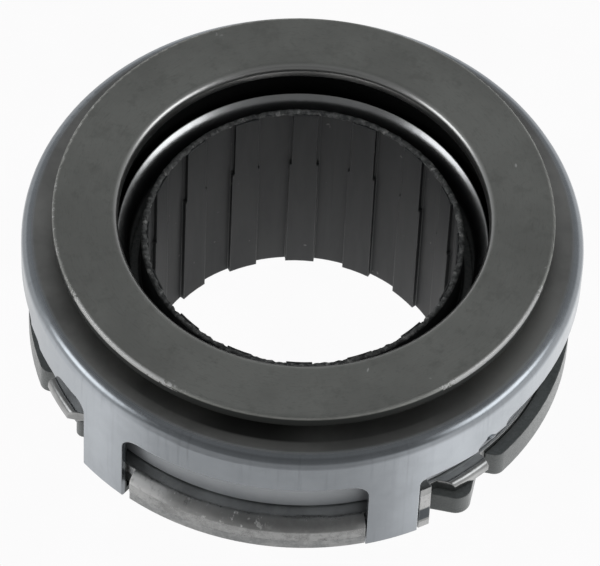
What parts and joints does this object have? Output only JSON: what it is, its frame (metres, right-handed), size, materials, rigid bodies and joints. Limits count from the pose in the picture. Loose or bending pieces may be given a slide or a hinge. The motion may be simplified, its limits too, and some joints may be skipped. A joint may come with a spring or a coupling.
{
  "type": "clutch release bearing",
  "caption": "Self-centring clutch release bearing: contact ring on a ball bearing, sheet cover with clipped legs, steel carrier and ribbed guide sleeve.",
  "frame": {"origin": "centre of the guide sleeve's rear end face, on the axis of the bore", "axes": "+Z along the bore axis towards the contact face; the front window, with the two front legs beside it, faces -Y; the side plates for the release fork lie towards +X and -X"},
  "size_m": [0.073, 0.073, 0.037],
  "materials": {
    "contact_steel": "dark hardened steel, matte on the contact face, worn bright at its outer edge",
    "race_steel": "ground bearing steel",
    "ball_steel": "polished bearing steel",
    "cage_plastic": "moulded polyamide",
    "seal_rubber": "matte black rubber",
    "spring_steel": "spring steel strip",
    "cover_steel": "oiled dark sheet steel, satin",
    "carrier_steel": "dark glossy pressed steel with worn bright patches",
    "sleeve_plastic": "dark grey glass-filled polyamide"
  },
  "bodies": {
    "sleeve_and_cover": {"guide_sleeve": "sleeve_plastic", "carrier_plate": "carrier_steel", "housing_cover": "cover_steel"},
    "float_link": {"wave_spring": "spring_steel"},
    "bearing_outer": {"outer_ring": "race_steel", "front_seal": "seal_rubber", "rear_seal": "seal_rubber"},
    "bearing_cage": {"ball_cage": "cage_plastic", "ball_01": "ball_steel", "ball_02": "ball_steel", "ball_03": "ball_steel", "ball_04": "ball_steel", "ball_05": "ball_steel", "ball_06": "ball_steel", "ball_07": "ball_steel", "ball_08": "ball_steel", "ball_09": "ball_steel", "ball_10": "ball_steel", "ball_11": "ball_steel", "ball_12": "ball_steel", "ball_13": "ball_steel", "ball_14": "ball_steel", "ball_15": "ball_steel", "ball_16": "ball_steel", "ball_17": "ball_steel", "ball_18": "ball_steel", "ball_19": "ball_steel", "ball_20": "ball_steel", "ball_21": "ball_steel", "ball_22": "ball_steel", "ball_23": "ball_steel", "ball_24": "ball_steel"},
    "contact_ring": {"thrust_ring": "contact_steel"}
  },
  "joints": [
    {"name": "centring_x", "type": "slide", "parent": "sleeve_and_cover", "child": "float_link", "axis": [1, 0, 0], "range_m": [-0.00055, 0.00055]},
    {"name": "centring_y", "type": "slide", "parent": "float_link", "child": "bearing_outer", "axis": [0, 1, 0], "range_m": [-0.00055, 0.00055]},
    {"name": "contact_spin", "type": "hinge", "parent": "bearing_outer", "child": "contact_ring", "pos_m": [0, 0, 0.02505], "axis": [0, 0, 1], "continuous": true},
    {"name": "cage_orbit", "type": "hinge", "parent": "bearing_outer", "child": "bearing_cage", "pos_m": [0, 0, 0.02505], "axis": [0, 0, 1], "continuous": true}
  ],
  "couplings": [
    {"joint": "cage_orbit", "follows": "contact_spin", "ratio": 0.457}
  ]
}
